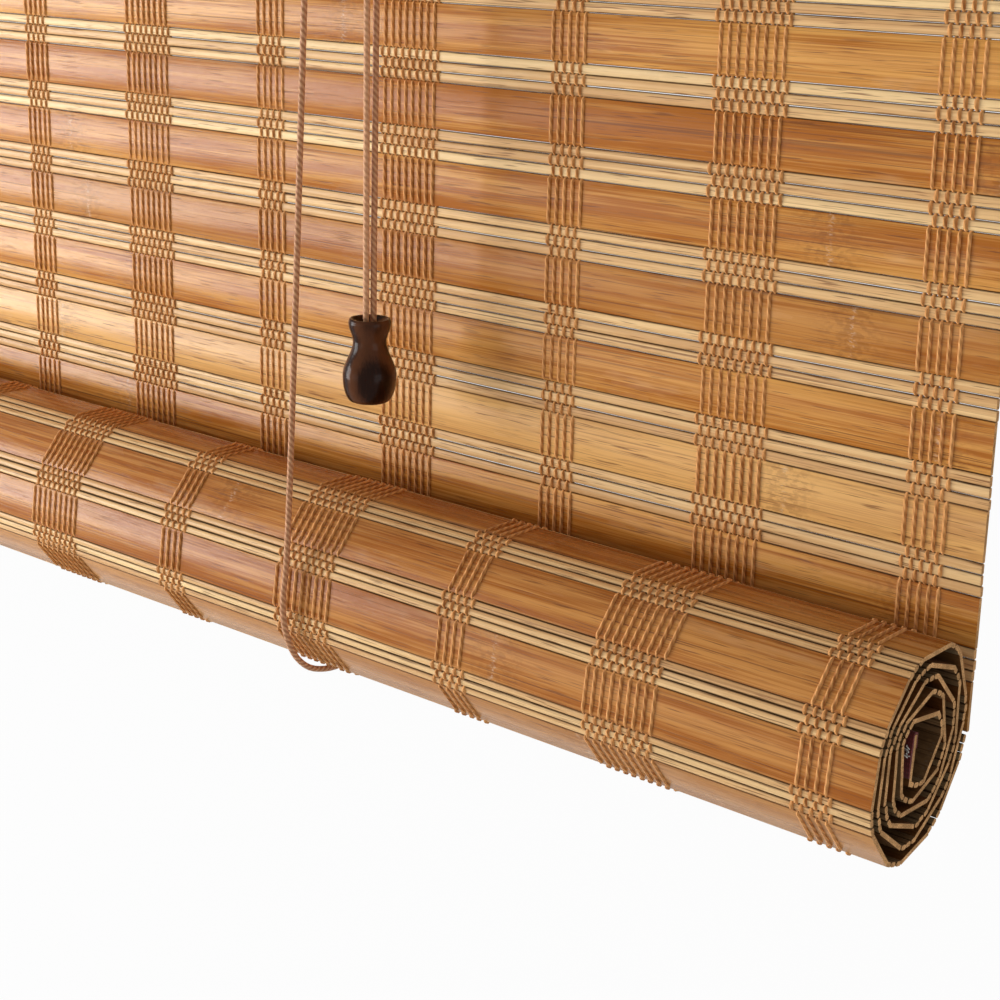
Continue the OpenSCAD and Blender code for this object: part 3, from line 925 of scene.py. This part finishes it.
def strand_material(name, ridge, groove, strands, pitch, rough):
    found = bpy.data.materials.get(name)
    if found:
        return found
    made, shade, surface = start_material(name)
    twist = group_in(
        shade, "Twisted strands", strand_group, {"Place": uv_place(shade), "Strands": strands, "Pitch": pitch}
    )
    high = shade.span(twist["Ridge"], 0.12, 0.85)
    uneven = shade.times(high, shade.span(twist["Fuzz"], 0.25, 0.75, 0.65, 1.0))
    colour = shade.mix(uneven, opaque(groove), opaque(ridge))
    pale = opaque([min(1.0, 1.35 * x + 0.02) for x in ridge])
    shade.dress(surface, {
        "Base Color": shade.mix(shade.times(tint_of(shade)["Red"], 0.4), colour, pale),
        "Roughness": rough,
        "Specular IOR Level": 0.2,
        "Sheen Weight": 0.1,
        "Sheen Roughness": 0.5,
        "Normal": shade.bump(shade.plus(high, shade.times(twist["Fuzz"], 0.4)), 0.6, 0.00025),
    })
    return made


def thread_material():
    c = colours()
    return strand_material("band_thread", c.thread, c.thread_deep, strands=2.0, pitch=0.0034, rough=0.7)


def cord_material():
    c = colours()
    return strand_material("cord_braid", c.cord, c.cord_deep, strands=3.0, pitch=0.0021, rough=0.55)


def timber_material(name, pale, rings, pores, rough, coat):
    made, shade, surface = start_material(name)
    at = object_place(shade)
    grain = group_in(shade, "Timber grain", timber_group, {"Place": at, "Rings": rings, "Pores": pores})
    deep = opaque([0.52 * pale[0], 0.42 * pale[1], 0.34 * pale[2]])
    colour = shade.mix(grain["Grain"], deep, opaque(pale))
    shade.dress(surface, {
        "Base Color": shade.mix(shade.times(grain["Pore"], 0.35), colour, opaque(pale, 0.3)),
        "Roughness": shade.span(grain["Pore"], 0.0, 1.0, rough, rough + 0.15),
        "Coat Weight": coat,
        "Coat Roughness": 0.12,
        "Normal": shade.bump(grain["Height"], 0.3, 0.0003),
    })
    return made


def tassel_material():
    c = colours()
    made, shade, surface = start_material("tassel_varnish")
    at = shade.node(
        "ShaderNodeMapping", {"Vector": object_place(shade), "Rotation": (0.0, math.radians(90.0), 0.0)}
    ).outputs["Vector"]
    grain = group_in(shade, "Timber grain", timber_group, {"Place": at, "Rings": 900.0, "Pores": 1400.0})
    worn = shade.span(shade.node("ShaderNodeNewGeometry").outputs["Pointiness"], 0.53, 0.6, 0.0, 0.7)
    colour = shade.mix(shade.times(grain["Grain"], 0.55), opaque(c.tassel), opaque(c.tassel_pale))
    shade.dress(surface, {
        "Base Color": shade.mix(worn, colour, opaque(c.tassel_pale, 2.0)),
        "Roughness": shade.span(grain["Pore"], 0.0, 1.0, 0.16, 0.34),
        "Specular IOR Level": 0.07,
        "Normal": shade.bump(grain["Height"], 0.25, 0.0002),
    })
    return made


def hem_material():
    hem = colours().hem
    made, shade, surface = start_material("hem_cloth")
    at = uv_place(shade)
    wave_inputs = {"Vector": at, "Scale": 500.0, "Distortion": 0.6}
    warp, weft = (
        shade.node("ShaderNodeTexWave", wave_inputs, bands_direction=way).outputs["Fac"] for way in ("X", "Y")
    )
    weave = shade.times(warp, weft)
    faded = shade.span(shade.noise(at, 90.0, 3.0), 0.35, 0.75)
    colour = shade.mix(weave, opaque(hem, 0.45), opaque(hem))
    shade.dress(surface, {
        "Base Color": shade.mix(shade.times(faded, 0.3), colour, opaque(hem, 1.8)),
        "Roughness": 0.85,
        "Sheen Weight": 0.05,
        "Normal": shade.bump(weave, 0.5, 0.0002),
    })
    return made


def fluff_material(name, colour):
    made, shade, surface = start_material(name)
    uneven = shade.span(shade.noise(object_place(shade), 1500.0, 2.0), 0.3, 0.7)
    mixed = shade.mix(uneven, opaque(colour, 0.7), opaque(colour))
    shade.dress(surface, {"Base Color": mixed, "Roughness": 0.8})
    return made


def metal_material(name, colour, rough, size):
    made, shade, surface = start_material(name)
    wear = group_in(shade, "Metal wear", metal_group, {"Place": object_place(shade), "Size": size})
    shade.dress(surface, {
        "Base Color": shade.mix(shade.times(wear["Dull"], 0.5), opaque(colour), opaque(colour, 0.55)),
        "Metallic": 1.0,
        "Roughness": shade.span(wear["Dull"], 0.0, 1.0, rough, rough + 0.22),
        "Normal": shade.bump(wear["Marks"], 0.12, 0.0001),
    })
    return made


def seen_rays(shade):
    """One for the rays that see the surroundings as plain white, nought for those that light the blind."""
    rays = shade.node("ShaderNodeLightPath").outputs
    seen = shade.math("MAXIMUM", rays["Is Camera Ray"], rays["Is Glossy Ray"])
    return shade.math("MAXIMUM", seen, rays["Is Transmission Ray"])


# Turned and knotted pieces

def ring_mesh(name, rings, material, uv_reach):
    """A surface that closes both ways, such as a turned piece with a bore or a knot."""
    n, m = rings.shape[:2]
    index = np.arange(n * m).reshape(n, m)
    side = np.roll(index, -1, axis=1)
    ahead = np.roll(index, -1, axis=0)
    quads = np.stack([index, side, np.roll(side, -1, axis=0), ahead], axis=-1).reshape(-1, 4)
    uvs = tube_uvs(n + 1, m, np.arange(n + 1) / n * uv_reach)
    mesh = bpy.data.meshes.new(name)
    mesh.from_pydata(rings.reshape(-1, 3).tolist(), [], quads.tolist())
    mesh.polygons.foreach_set("use_smooth", np.ones(len(quads), bool))
    return finish_mesh(mesh, uvs, np.full((n * m, 4), 0.5), material)


def knot_piece(name, centre, reach, height, radius):
    """A drawn-tight overhand knot, as a closed loop of cord."""
    t = np.linspace(0, math.tau, KNOT_STEPS, endpoint=False)
    line = np.stack([
        (np.sin(t) + 2 * np.sin(2 * t)) / 3 * reach,
        (np.cos(t) - 2 * np.cos(2 * t)) / 3 * reach,
        -np.sin(3 * t) * height,
    ], axis=1) + np.asarray(centre)
    ahead = unit(np.roll(line, -1, axis=0) - np.roll(line, 1, axis=0))
    out = line - np.asarray(centre)
    out = unit(out - (out * ahead).sum(axis=1)[:, None] * ahead)
    rings = tube_rings(line, (out, np.cross(ahead, out)), radius, KNOT_SIDES) * MM
    length = np.linalg.norm(np.roll(line, -1, axis=0) - line, axis=1).sum() * MM
    return ring_mesh(name, rings, cord_material(), length)


def ease(a, b, t):
    return a + (b - a) * (1 - math.cos(math.pi * t)) / 2


def tassel_radius(t):
    """Radius by the share of the height, going down: rim, neck, bulb and foot."""
    rim, neck, bulb, foot = 6.7, 5.3, 8.5, 5.2
    rim_end, neck_at, bulb_at = 0.05, 0.27, 0.68
    if t < rim_end:
        return rim - 0.4 * (1 - t / rim_end) ** 2
    if t < neck_at:
        return ease(rim, neck, (t - rim_end) / (neck_at - rim_end))
    if t < bulb_at:
        return ease(neck, bulb, (t - neck_at) / (bulb_at - neck_at))
    return foot + (bulb - foot) * math.sqrt(max(0.0, 1 - ((t - bulb_at) / (1 - bulb_at)) ** 2))


def wheel_wrap(x, y, start, stop):
    """Points over a wheel, from one turn in degrees to another."""
    turns = np.radians(np.arange(start, stop - 0.1, -WRAP_STEP))
    return [(x + WRAP_R * math.cos(w), y, WHEEL_Z + WRAP_R * math.sin(w)) for w in turns]


def cord_route(side):
    """The points of a lift cord, in millimetres. The left cord crosses to the right-hand front wheel."""
    route = [(side * CORD_X, y, z) for y, z in BACK_RUN + ROUND_ROLL]
    if side > 0:
        route += wheel_wrap(RIGHT_X, WHEEL_Y, 180, 0)
    else:
        route += wheel_wrap(LEFT_X, WHEEL_Y, 180, 90)
        route += wheel_wrap(RIGHT_X, WHEEL_Y - WHEEL_STEP, 90, 0)
    x = TASSEL[0] + side * PULL_SPREAD / 2
    y = TASSEL[1] + side * PULL_GAP / 2
    return route + [(x, y, TASSEL_ENTRY), (x, y, KNOT_TOP)]


def finish(node, material, bevel=0.0):
    """A carried-over node gets its material, smooth round faces and broken edges."""
    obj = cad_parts[node]
    obj.data.materials.clear()
    obj.data.materials.append(material)
    obj.data.polygons.foreach_set("use_smooth", np.ones(len(obj.data.polygons), bool))
    obj.data.set_sharp_from_angle(angle=SMOOTH_LIMIT)
    if bevel:
        edges = obj.modifiers.new("broken_edges", "BEVEL")
        edges.width = bevel
        edges.segments = 2
        edges.limit_method = "ANGLE"
        edges.angle_limit = BEVEL_LIMIT


# Operators

class BLIND_OT_stage(bpy.types.Operator):
    """Makes the camera, the floor, the world and the lamps."""

    bl_idname = "blind.stage"
    bl_label = "Camera and studio"

    def execute(self, context):
        scene = context.scene
        scene.view_settings.view_transform = "Standard"
        look = Vector(LOOK).normalized()
        side = look.cross(Vector(EYE_UP)).normalized()
        up = side.cross(look)
        camera = link("photo_camera", bpy.data.cameras.new("photo_camera"))
        camera.data.lens = LENS
        camera.data.sensor_width = SENSOR
        camera.data.clip_start = 0.01
        camera.matrix_world = Matrix.Translation(EYE) @ Matrix((side, up, -look)).transposed().to_4x4()
        scene.camera = camera
        self.floor()
        self.world(scene)
        for lamp in LAMPS:
            self.lamp(*lamp)
        return {"FINISHED"}

    def lamp(self, name, at, target, size, power):
        data = bpy.data.lights.new(name, "AREA")
        data.shape = "SQUARE"
        data.size = size
        data.energy = power
        lamp = link(name, data)
        lamp.location = at
        lamp.rotation_euler = (Vector(target) - Vector(at)).to_track_quat("-Z", "Y").to_euler()

    def floor(self):
        half, z = FLOOR_HALF, FLOOR_Z
        corners = [(-half, -half, z), (half, -half, z), (half, half, z), (-half, half, z)]
        mesh = bpy.data.meshes.new("studio_floor")
        mesh.from_pydata(corners, [], [(0, 1, 2, 3)])
        made, shade, surface = start_material("floor_paint")
        mottle = shade.span(shade.noise(object_place(shade), 3.0, 4.0), 0.3, 0.7)
        paint = colours().floor
        mixed = shade.mix(mottle, opaque(paint, 0.97), opaque(paint))
        shade.dress(surface, {"Base Color": mixed, "Roughness": 0.9})
        painted = surface["Base Color"].node.outputs["BSDF"]
        end = painted.links[0].to_socket
        white = shade.node("ShaderNodeEmission", {"Color": WHITE, "Strength": 1.0}).outputs[0]
        share = shade.times(seen_rays(shade), 0.96)
        both = shade.node("ShaderNodeMixShader", {0: share, 1: painted, 2: white})
        shade.feed(end, both.outputs[0])
        mesh.materials.append(made)
        obj = link("studio_floor", mesh)

    def world(self, scene):
        world = bpy.data.worlds.new("studio_world")
        world.use_nodes = True
        world.node_tree.nodes.clear()
        shade = Shade(world.node_tree)
        toward = shade.parts(shade.node("ShaderNodeTexCoord").outputs["Generated"])
        soft = shade.blend((toward["X"], WORLD_LEFT), (toward["Z"], WORLD_ABOVE))
        strength = shade.math("MAXIMUM", shade.plus(soft, WORLD_LEVEL), seen_rays(shade))
        back = shade.node("ShaderNodeBackground", {"Color": WHITE, "Strength": strength})
        shade.node("ShaderNodeOutputWorld", {"Surface": back.outputs[0]})
        scene.world = world


class BLIND_OT_cords(bpy.types.Operator):
    """Makes the two lift cords from their knots on the board to the knot in the tassel."""

    bl_idname = "blind.cords"
    bl_label = "Lift cords"

    def execute(self, context):
        radius = sizes().cord_diameter / MM / 2
        for side, name, tone in ((-1, "left", LEFT_CORD_TONE), (1, "right", RIGHT_CORD_TONE)):
            line = smooth_line(cord_route(side), CORD_STEP)
            heap = Heap()
            heap.tube(line, carried_axes(line), radius, CORD_SIDES, (tone, 0.5, 0.5, 1.0))
            piece = place(heap.build(f"cord_{name}", cord_material()), "cord", f"lift_cord_{name}")
        return {"FINISHED"}


class BLIND_OT_knots(bpy.types.Operator):
    """Makes the knots at both ends of the cords."""

    bl_idname = "blind.knots"
    bl_label = "Knots"

    def execute(self, context):
        radius = sizes().cord_diameter / MM / 2
        for side, name in ((-1, "left"), (1, "right")):
            centre = (side * CORD_X, ANCHOR[0], ANCHOR[1] + TOP_KNOT_RISE)
            piece = knot_piece(f"top_knot_{name}", centre, *TOP_KNOT, radius)
            place(piece, "cord", f"anchor_knot_{name}")
        centre = (TASSEL[0], TASSEL[1], KNOT_TOP - PULL_KNOT_DROP)
        place(knot_piece("pull_knot", centre, *PULL_KNOT, radius), "cord", "tassel_knot")
        return {"FINISHED"}


class BLIND_OT_tassel(bpy.types.Operator):
    """Makes the turned wooden tassel with its dished top and bored foot."""

    bl_idname = "blind.tassel"
    bl_label = "Tassel"

    def execute(self, context):
        shares = np.arange(TASSEL_STEPS + 1) / TASSEL_STEPS
        ceiling = -TASSEL_H + TASSEL_RECESS_H
        profile = np.array([
            *((tassel_radius(t), -TASSEL_H * t) for t in shares),
            (TASSEL_RECESS_R + 0.15, -TASSEL_H), (TASSEL_RECESS_R, -TASSEL_H + 0.2),
            (TASSEL_RECESS_R, ceiling), (TASSEL_BORE_R, ceiling), *TASSEL_DISH,
        ])
        turns = np.arange(TASSEL_TURNS) * math.tau / TASSEL_TURNS
        rings = np.empty((len(turns), len(profile), 3))
        rings[..., 0] = TASSEL[0] + np.cos(turns)[:, None] * profile[None, :, 0]
        rings[..., 1] = TASSEL[1] + np.sin(turns)[:, None] * profile[None, :, 0]
        rings[..., 2] = TASSEL[2] + profile[None, :, 1]
        piece = ring_mesh("pull_tassel", rings[::-1] * MM, tassel_material(), uv_reach=0.05)
        place(piece, "tassel_wood", "tassel")
        return {"FINISHED"}


class BLIND_OT_hanging_mat(bpy.types.Operator):
    """Makes the slats and reeds of the hanging part of the mat."""

    bl_idname = "blind.hanging_mat"
    bl_label = "Hanging mat"

    def execute(self, context):
        rng = draws(HANGING_SEED)
        slats, reeds = Heap(), Heap()
        add_laths(slats, reeds, hanging_pieces(), rng, sizes().reed_waver / MM, HANGING_RISE)
        material = slat_material("slat_bamboo")
        place(slats.build("hanging_slats", material, end_material()), "bamboo", "mat_panel")
        place(reeds.build("hanging_reeds", reed_material(), end_material()), "bamboo")
        return {"FINISHED"}


class BLIND_OT_rolled_mat(bpy.types.Operator):
    """Makes the slats and reeds of the rolled part of the mat."""

    bl_idname = "blind.rolled_mat"
    bl_label = "Rolled mat"

    def execute(self, context):
        rng = draws(ROLL_SEED)
        slats, reeds = Heap(), Heap()
        add_laths(slats, reeds, rolled_pieces(), rng, ROLL_STRAY, ROLL_RISE_WAVER, ROLL_THREAD_COURSES)
        # painted shade: a darker copy of the slat bamboo for the roll
        material = slat_material("rolled_slat_bamboo_shaded", ROLL_SHADE_TONE)
        place(slats.build("rolled_slats", material, end_material()), "bamboo", "mat_roll")
        place(reeds.build("rolled_reeds", reed_material(), end_material()), "bamboo")
        return {"FINISHED"}


class BLIND_OT_thread_bands(bpy.types.Operator):
    """Weaves the bands of thread through the hanging mat and the roll's outer turn."""

    bl_idname = "blind.thread_bands"
    bl_label = "Thread bands"

    def execute(self, context):
        rng = draws(THREAD_SEED)
        s = sizes()
        radius = s.thread_diameter / MM / 2
        gap = s.thread_spacing / MM
        pieces = hanging_pieces() + rolled_pieces()[:ROLL_THREAD_COURSES * (REEDS + 1)]
        lines = (thread_line(pieces, -1, radius), thread_line(pieces, 1, radius))
        for band in range(BANDS):
            middle = band_middle(band)
            heap = Heap()
            for line, count in zip(lines, BAND_THREADS[band % 2]):
                for i in range(count):
                    add_thread(heap, line, middle + (i - (count - 1) / 2) * gap, rng, radius)
            piece = heap.build(f"thread_band_{band + 1:02d}", thread_material())
            place(piece, "thread", "panel_threads_front", "panel_threads_back", "roll_threads")
        return {"FINISHED"}


class BLIND_OT_hem(bpy.types.Operator):
    """Makes the cloth folded round the mat's lower edge, with the thread ends that stick out of it."""

    bl_idname = "blind.hem"
    bl_label = "Hem"

    def execute(self, context):
        rng = draws(HEM_SEED)
        last = rolled_pieces()[-1]
        self.cloth(last, rng)
        self.thread_ends(last, rng)
        return {"FINISHED"}

    def cloth(self, last, rng):
        high, thick = HEM_HALF, CLOTH_THICK
        low = -high
        end = last.half + HEM_SLACK
        x = np.linspace(-MAT_W / 2, MAT_W / 2, HEM_STATIONS)
        edge = wave(rng, x, 0.35, 60.0)
        puff = 0.12 + 0.12 * (wave(rng, x, 1.0, 45.0) + 1)
        rings = np.empty((HEM_STATIONS, HEM_POINTS, 3))
        for i in range(HEM_STATIONS):
            deep = low - thick - puff[i]
            short_end = end - SHORT_LAP + edge[i]
            long_end = end - LONG_LAP + edge[i]
            section = (
                (short_end, high), (end, high), (end, low), (end - 6.0, low),
                (long_end, low), (long_end, low - thick),
                (end - 8.0, deep), (end - 4.0, deep), (end - 0.2, low - thick),
                (end + 0.4 * thick, low - 0.6 * thick), (end + thick, low + 0.3),
                (end + thick, high - 0.3), (end + 0.4 * thick, high + 0.6 * thick),
                (short_end, high + thick),
            )
            for k, (along, out) in enumerate(section[::-1]):
                rings[i, k] = (x[i], *last.at(along, -out))
        u = np.broadcast_to(x[:, None], rings.shape[:2]) * MM
        v = np.broadcast_to(np.arange(HEM_POINTS) * HEM_UV_STEP, rings.shape[:2])
        uv = np.stack([u, v], axis=-1)
        quad_uvs = corner_uvs(uv, np.stack([u, v + HEM_UV_STEP], axis=-1))
        heap = Heap()
        heap.add(rings * MM, quad_uvs, (uv[0], uv[-1]), PLAIN_TINT)
        piece = place(heap.build("hem_cloth", hem_material()), "hem_cloth", "hem_binding")

    def thread_ends(self, last, rng):
        white, straw = Heap(), Heap()
        tufts = [(band_middle(band), BAND_SPREAD) for band in range(BANDS)]
        tufts += [(side * (MAT_W / 2 - EDGE_INSET), EDGE_SPREAD) for side in (-1, 1)]
        for middle, spread in tufts:
            for i in range(TUFT_ENDS):
                x = middle + rng.uniform(-spread, spread)
                start = rng.uniform(*TUFT_START)
                reach = rng.uniform(*TUFT_REACH)
                points = []
                for t in np.linspace(0, 1, TUFT_POINTS):
                    along = last.half + start + 1.6 * t * rng.uniform(0.5, 1.0)
                    out = 1.35 + reach * math.sin(t * 2.0) * 0.8
                    y, z = last.at(along, out)
                    points.append((x + 1.8 * t * t * rng.uniform(-1.0, 1.0), y, z))
                line = smooth_line(points, LINT_STEP)
                heap = straw if i == TUFT_ENDS - 1 else white
                heap.tube(line, carried_axes(line), LINT_R, LINT_SIDES, PLAIN_TINT)
        place(white.build("hem_thread_ends", fluff_material("white_lint", WHITE_LINT)), "thread")
        place(straw.build("hem_straw_ends", fluff_material("straw_lint", STRAW_LINT)), "thread")


class BLIND_OT_headrail(bpy.types.Operator):
    """Gives the board, the batten and their screws their finish."""

    bl_idname = "blind.headrail"
    bl_label = "Headrail"

    def execute(self, context):
        c = colours()
        pine = timber_material("board_pine", c.pine, rings=420.0, pores=700.0, rough=0.55, coat=0.0)
        stained = timber_material("batten_stain", c.stain, rings=380.0, pores=700.0, rough=0.45, coat=0.12)
        finish("rear_board", pine, bevel=0.0012)
        finish("front_batten", stained, bevel=0.0015)
        finish("clamp_screws", metal_material("clamp_zinc", c.zinc, rough=0.5, size=2.0))
        return {"FINISHED"}


class BLIND_OT_pulleys(bpy.types.Operator):
    """Gives the brackets, axles, wheels and screws their finish."""

    bl_idname = "blind.pulleys"
    bl_label = "Pulleys"

    def execute(self, context):
        c = colours()
        sheet = metal_material("bracket_zinc", c.zinc, rough=0.5, size=1.0)
        screw = metal_material("screw_zinc", [0.9 * x for x in c.zinc], rough=0.45, size=2.5)
        brass = metal_material("wheel_brass", c.brass, rough=0.24, size=2.0)
        for side in ("left", "right"):
            finish(f"pulley_bracket_{side}", sheet, bevel=0.0002)
            finish(f"pulley_axle_{side}", screw)
            finish(f"bracket_screws_{side}", screw)
        finish("pulley_spacer", screw)
        for wheel in ("left", "right_rear", "right_front"):
            finish(f"pulley_wheel_{wheel}", brass)
        return {"FINISHED"}


class BLIND_PT_panel(bpy.types.Panel):
    """Lists the blind's sizes, colours and operators in the sidebar."""

    bl_label = "Bamboo blind"
    bl_idname = "BLIND_PT_panel"
    bl_space_type = "VIEW_3D"
    bl_region_type = "UI"
    bl_category = "Blind"

    def draw(self, context):
        for group in (sizes(), colours()):
            for key in group.bl_rna.properties.keys():
                if key not in {"rna_type", "name"}:
                    self.layout.prop(group, key)
        for operator in OPERATORS:
            self.layout.operator(operator.bl_idname)


OPERATORS = (
    BLIND_OT_stage, BLIND_OT_cords, BLIND_OT_knots, BLIND_OT_tassel, BLIND_OT_hanging_mat,
    BLIND_OT_rolled_mat, BLIND_OT_thread_bands, BLIND_OT_hem, BLIND_OT_headrail, BLIND_OT_pulleys,
)
CLASSES = (BlindSizes, BlindColours, *OPERATORS, BLIND_PT_panel)


def register():
    for cls in CLASSES:
        bpy.utils.register_class(cls)
    bpy.types.Scene.blind_sizes = PointerProperty(type=BlindSizes)
    bpy.types.Scene.blind_colours = PointerProperty(type=BlindColours)


def unregister():
    del bpy.types.Scene.blind_colours
    del bpy.types.Scene.blind_sizes
    for cls in reversed(CLASSES):
        bpy.utils.unregister_class(cls)


def main():
    register()
    bpy.ops.blind.stage()
    bpy.ops.blind.cords()
    bpy.ops.blind.knots()
    bpy.ops.blind.tassel()
    bpy.ops.blind.hanging_mat()
    bpy.ops.blind.rolled_mat()
    bpy.ops.blind.thread_bands()
    bpy.ops.blind.hem()
    bpy.ops.blind.headrail()
    bpy.ops.blind.pulleys()
    bpy.context.view_layer.update()


if __name__ == "__main__":
    main()
